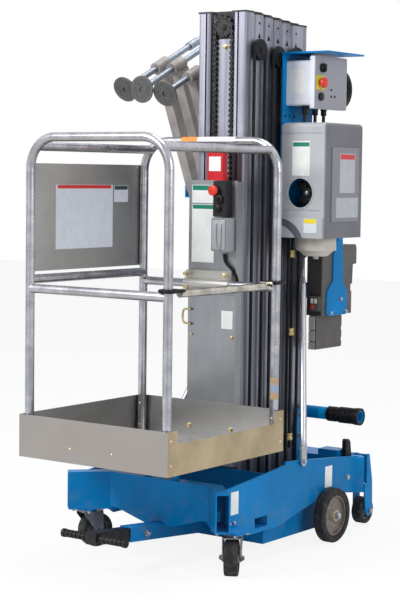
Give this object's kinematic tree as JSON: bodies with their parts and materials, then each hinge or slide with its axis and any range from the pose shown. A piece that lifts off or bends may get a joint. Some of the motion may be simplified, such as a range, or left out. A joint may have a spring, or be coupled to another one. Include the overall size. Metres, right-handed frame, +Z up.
{
  "type": "vertical mast lift",
  "caption": "Push-around personnel lift: telescoping aluminium mast, caged platform, welded base on casters and fixed wheels, power unit and stowed outriggers.",
  "frame": {"origin": "on the floor, midway between the left and right wheels and between the front and rear ends", "axes": "+X to the entry and power unit side, +Y to the rear (away from the platform), +Z up"},
  "size_m": [0.8863, 1.4014, 1.965],
  "materials": {
    "blue_paint": "gloss",
    "black_paint": "satin",
    "zinc_steel": "satin",
    "tan_steel": "matt",
    "aluminium": "brushed",
    "black_rubber": "matt",
    "red_plastic": "gloss",
    "black_plastic": "matt",
    "grey_plastic": "satin",
    "dark_plastic": "matt",
    "tyre": "matt"
  },
  "bodies": {
    "base": {"base_plates": "blue_paint", "corner_sockets": "blue_paint", "mast_well": "blue_paint", "rear_deck": "blue_paint", "mast_brackets": "blue_paint", "push_bar": "blue_paint", "power_bracket": "blue_paint", "loading_frame": "blue_paint", "rest_pegs": "blue_paint", "rear_axles": "zinc_steel", "mast_braces": "zinc_steel", "outrigger_jacks": "zinc_steel", "outrigger_beams": "tan_steel", "brake_pedals": "black_rubber", "push_sleeves": "black_rubber", "column_6": "aluminium", "hoses_6": "black_rubber", "ground_box": "grey_plastic", "power_cover": "grey_plastic", "pump_unit": "grey_plastic", "battery_housings": "dark_plastic"},
    "handle": {"tow_handle": "black_paint"},
    "stage_5": {"column_5": "aluminium"},
    "stage_4": {"column_4": "aluminium", "hoses_4": "black_rubber"},
    "stage_3": {"column_3": "aluminium"},
    "stage_2": {"column_2": "aluminium", "hoses_2": "black_rubber"},
    "stage_1": {"column_1": "aluminium", "lift_chain": "zinc_steel"},
    "platform": {"carriage": "aluminium", "tray": "aluminium", "cage_hoops": "aluminium", "cage_rails": "aluminium", "saddle": "aluminium", "sign_panel": "aluminium", "document_box": "red_plastic", "platform_control_box": "black_plastic", "outlet_box": "grey_plastic"},
    "gate": {"entry_gate": "aluminium"},
    "caster_r": {"caster_fork_r": "zinc_steel"},
    "caster_l": {"caster_fork_l": "zinc_steel"},
    "caster_roll_r": {"caster_wheel_r": "tyre"},
    "caster_roll_l": {"caster_wheel_l": "tyre"},
    "main_r": {"main_wheel_r": "tyre"},
    "main_l": {"main_wheel_l": "tyre"},
    "tilt_r": {"tilt_wheel_r": "tyre"},
    "tilt_l": {"tilt_wheel_l": "tyre"},
    "loading_r": {"loading_wheel_r": "tyre"},
    "loading_l": {"loading_wheel_l": "tyre"}
  },
  "joints": [
    {"name": "stage_5_lift", "type": "slide", "parent": "base", "child": "stage_5", "axis": [0, 0, 1], "range_m": [0, 1.43]},
    {"name": "stage_4_lift", "type": "slide", "parent": "stage_5", "child": "stage_4", "axis": [0, 0, 1], "range_m": [0, 1.43]},
    {"name": "stage_3_lift", "type": "slide", "parent": "stage_4", "child": "stage_3", "axis": [0, 0, 1], "range_m": [0, 1.43]},
    {"name": "stage_2_lift", "type": "slide", "parent": "stage_3", "child": "stage_2", "axis": [0, 0, 1], "range_m": [0, 1.43]},
    {"name": "stage_1_lift", "type": "slide", "parent": "stage_2", "child": "stage_1", "axis": [0, 0, 1], "range_m": [0, 1.43]},
    {"name": "platform_lift", "type": "slide", "parent": "stage_1", "child": "platform", "axis": [0, 0, 1], "range_m": [0, 1.43]},
    {"name": "entry_gate_slide", "type": "slide", "parent": "platform", "child": "gate", "axis": [0, 0, 1], "range_m": [0, 0.33]},
    {"name": "tow_handle_slide", "type": "slide", "parent": "base", "child": "handle", "axis": [0, -0.9962, 0.0872], "range_m": [0, 0.25]},
    {"name": "caster_swivel_r", "type": "hinge", "parent": "base", "child": "caster_r", "pos_m": [0.326, -0.326, 0.148], "axis": [0, 0, 1], "continuous": true},
    {"name": "caster_swivel_l", "type": "hinge", "parent": "base", "child": "caster_l", "pos_m": [-0.326, -0.326, 0.148], "axis": [0, 0, 1], "continuous": true},
    {"name": "caster_roll_r", "type": "hinge", "parent": "caster_r", "child": "caster_roll_r", "pos_m": [0.3435, -0.35631, 0.0625], "axis": [0.866, 0.5, 0], "continuous": true},
    {"name": "caster_roll_l", "type": "hinge", "parent": "caster_l", "child": "caster_roll_l", "pos_m": [-0.31403, -0.29311, 0.0625], "axis": [-0.9397, 0.342, 0], "continuous": true},
    {"name": "main_spin_r", "type": "hinge", "parent": "base", "child": "main_r", "pos_m": [0.336, 0.312, 0.102], "axis": [1, 0, 0], "continuous": true},
    {"name": "main_spin_l", "type": "hinge", "parent": "base", "child": "main_l", "pos_m": [-0.336, 0.312, 0.102], "axis": [1, 0, 0], "continuous": true},
    {"name": "tilt_spin_r", "type": "hinge", "parent": "base", "child": "tilt_r", "pos_m": [0.271, 0.649, 0.06], "axis": [1, 0, 0], "continuous": true},
    {"name": "tilt_spin_l", "type": "hinge", "parent": "base", "child": "tilt_l", "pos_m": [-0.271, 0.649, 0.06], "axis": [1, 0, 0], "continuous": true},
    {"name": "loading_spin_r", "type": "hinge", "parent": "base", "child": "loading_r", "pos_m": [0.183, 0.559, 1.703], "axis": [1, 0, 0], "continuous": true},
    {"name": "loading_spin_l", "type": "hinge", "parent": "base", "child": "loading_l", "pos_m": [-0.183, 0.559, 1.703], "axis": [1, 0, 0], "continuous": true}
  ],
  "couplings": [
    {"joint": "stage_4_lift", "follows": "stage_5_lift", "ratio": 1},
    {"joint": "stage_3_lift", "follows": "stage_5_lift", "ratio": 1},
    {"joint": "stage_2_lift", "follows": "stage_5_lift", "ratio": 1},
    {"joint": "stage_1_lift", "follows": "stage_5_lift", "ratio": 1},
    {"joint": "platform_lift", "follows": "stage_5_lift", "ratio": 1}
  ]
}
